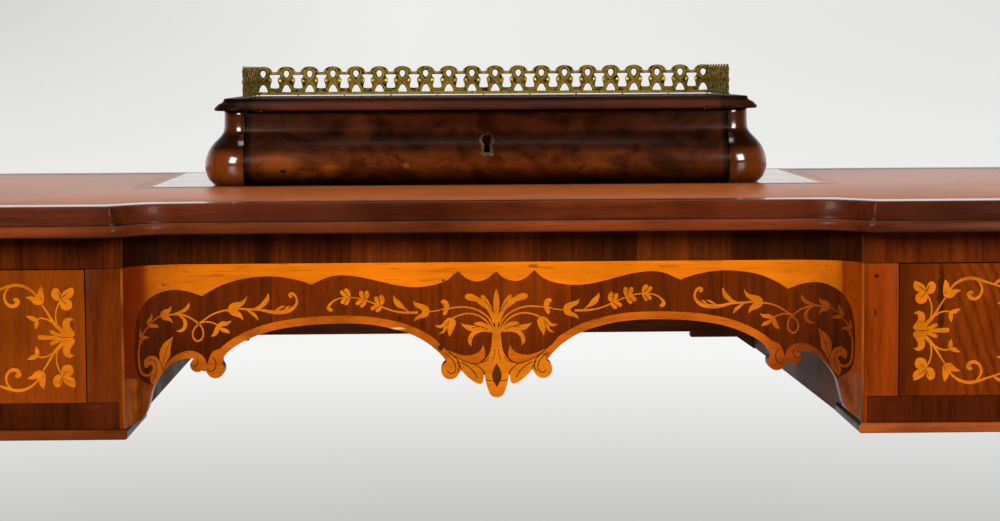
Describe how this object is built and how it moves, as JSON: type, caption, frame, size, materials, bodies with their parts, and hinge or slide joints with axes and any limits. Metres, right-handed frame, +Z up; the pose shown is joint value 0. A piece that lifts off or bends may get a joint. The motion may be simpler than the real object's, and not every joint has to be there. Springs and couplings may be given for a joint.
{
  "type": "writing table",
  "caption": "Writing table with leather top, raised ogee-fronted drawer case with pierced brass gallery, frieze drawers, shaped kneehole apron and cabriole legs.",
  "frame": {"origin": "floor level under the middle of the table top", "axes": "+Z up, front of the table towards -Y, +X to the right as a sitter in front sees it"},
  "size_m": [1.24, 0.612, 0.8638],
  "materials": {
    "walnut": "polished",
    "dark_walnut": "polished",
    "walnut_veneer": "polished",
    "satinwood": "polished",
    "drawer_lining": "satin",
    "tan_leather": "satin",
    "brass": "aged"
  },
  "bodies": {
    "table": {"top_board": "walnut", "writing_leather": "tan_leather", "front_edge_moulding": "walnut", "back_edge_moulding": "walnut", "left_edge_moulding": "walnut", "right_edge_moulding": "walnut", "kneehole_apron": "walnut_veneer", "left_top_rail": "dark_walnut", "right_top_rail": "dark_walnut", "left_bottom_rail": "walnut", "right_bottom_rail": "walnut", "left_inner_stile": "walnut", "right_inner_stile": "walnut", "left_inner_panel": "dark_walnut", "right_inner_panel": "dark_walnut", "left_outer_panel": "walnut", "right_outer_panel": "walnut", "back_rail": "walnut", "left_drawer_runner": "drawer_lining", "right_drawer_runner": "drawer_lining", "left_foot_bead": "walnut", "right_foot_bead": "walnut", "front_left_leg": "walnut", "front_right_leg": "walnut", "back_left_leg": "walnut", "back_right_leg": "walnut", "raised_case_base": "walnut", "raised_case_back": "walnut", "left_corner_block": "walnut", "right_corner_block": "walnut", "left_raised_case_side": "walnut", "right_raised_case_side": "walnut", "cornice_board": "dark_walnut", "gallery_back": "brass", "gallery_left": "brass", "gallery_right": "brass"},
    "left_drawer": {"left_drawer_front": "walnut_veneer", "left_drawer_left_side": "drawer_lining", "left_drawer_right_side": "drawer_lining", "left_drawer_back": "drawer_lining", "left_drawer_bottom": "drawer_lining", "left_lock_case": "brass", "left_keyhole_plate": "brass"},
    "right_drawer": {"right_drawer_front": "walnut_veneer", "right_drawer_left_side": "drawer_lining", "right_drawer_right_side": "drawer_lining", "right_drawer_back": "drawer_lining", "right_drawer_bottom": "drawer_lining", "right_lock_case": "brass", "right_keyhole_plate": "brass"},
    "upper_drawer": {"upper_drawer_front": "dark_walnut", "upper_drawer_left_side": "drawer_lining", "upper_drawer_right_side": "drawer_lining", "upper_drawer_back": "drawer_lining", "upper_drawer_bottom": "drawer_lining", "upper_lock_case": "brass", "upper_keyhole_plate": "brass"},
    "left_bolt": {"left_lock_bolt": "brass"},
    "right_bolt": {"right_lock_bolt": "brass"},
    "upper_bolt": {"upper_lock_bolt": "brass"}
  },
  "joints": [
    {"name": "left_drawer_slide", "type": "slide", "parent": "table", "child": "left_drawer", "axis": [0, -1, 0], "range_m": [0, 0.33]},
    {"name": "right_drawer_slide", "type": "slide", "parent": "table", "child": "right_drawer", "axis": [0, -1, 0], "range_m": [0, 0.33]},
    {"name": "upper_drawer_slide", "type": "slide", "parent": "table", "child": "upper_drawer", "axis": [0, -1, 0], "range_m": [0, 0.12]},
    {"name": "left_bolt_slide", "type": "slide", "parent": "left_drawer", "child": "left_bolt", "axis": [0, 0, 1], "range_m": [0, 0.006]},
    {"name": "right_bolt_slide", "type": "slide", "parent": "right_drawer", "child": "right_bolt", "axis": [0, 0, 1], "range_m": [0, 0.006]},
    {"name": "upper_bolt_slide", "type": "slide", "parent": "upper_drawer", "child": "upper_bolt", "axis": [0, 0, 1], "range_m": [0, 0.006]}
  ]
}
